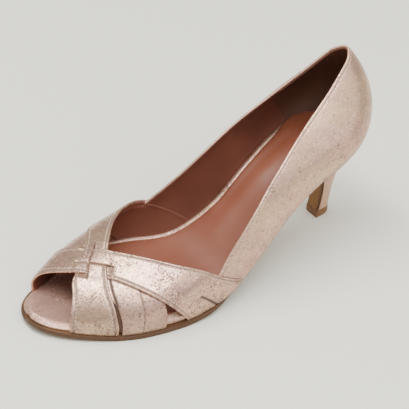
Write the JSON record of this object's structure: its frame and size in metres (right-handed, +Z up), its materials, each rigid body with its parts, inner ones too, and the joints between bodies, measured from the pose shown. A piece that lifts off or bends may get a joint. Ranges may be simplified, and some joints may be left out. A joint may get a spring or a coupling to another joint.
{
  "type": "peep toe pump shoe",
  "caption": "Left low-heel pump with a woven cross-band vamp, open toe, side cut-outs, slim covered heel and a contoured foot bed.",
  "frame": {"origin": "on the floor plane, under the middle of the shoe's bounding box", "axes": "+X from the heel to the toe, +Y to the outer (lateral) side of a left foot, +Z up"},
  "size_m": [0.241, 0.087, 0.1205],
  "materials": {
    "upper_leather": "champagne metallic foil, fine crackle, satin",
    "insole_wrap": "champagne metallic foil, satin",
    "sock": "reddish brown, smooth satin",
    "sole": "tan, stained edge",
    "heel_cover": "champagne metallic foil, satin",
    "top_piece": "caramel brown, matt"
  },
  "bodies": {
    "root": {"upper": "upper_leather", "insole": "insole_wrap", "sock_lining": "sock", "outsole": "sole", "heel": "heel_cover", "top_piece": "top_piece"}
  },
  "joints": []
}
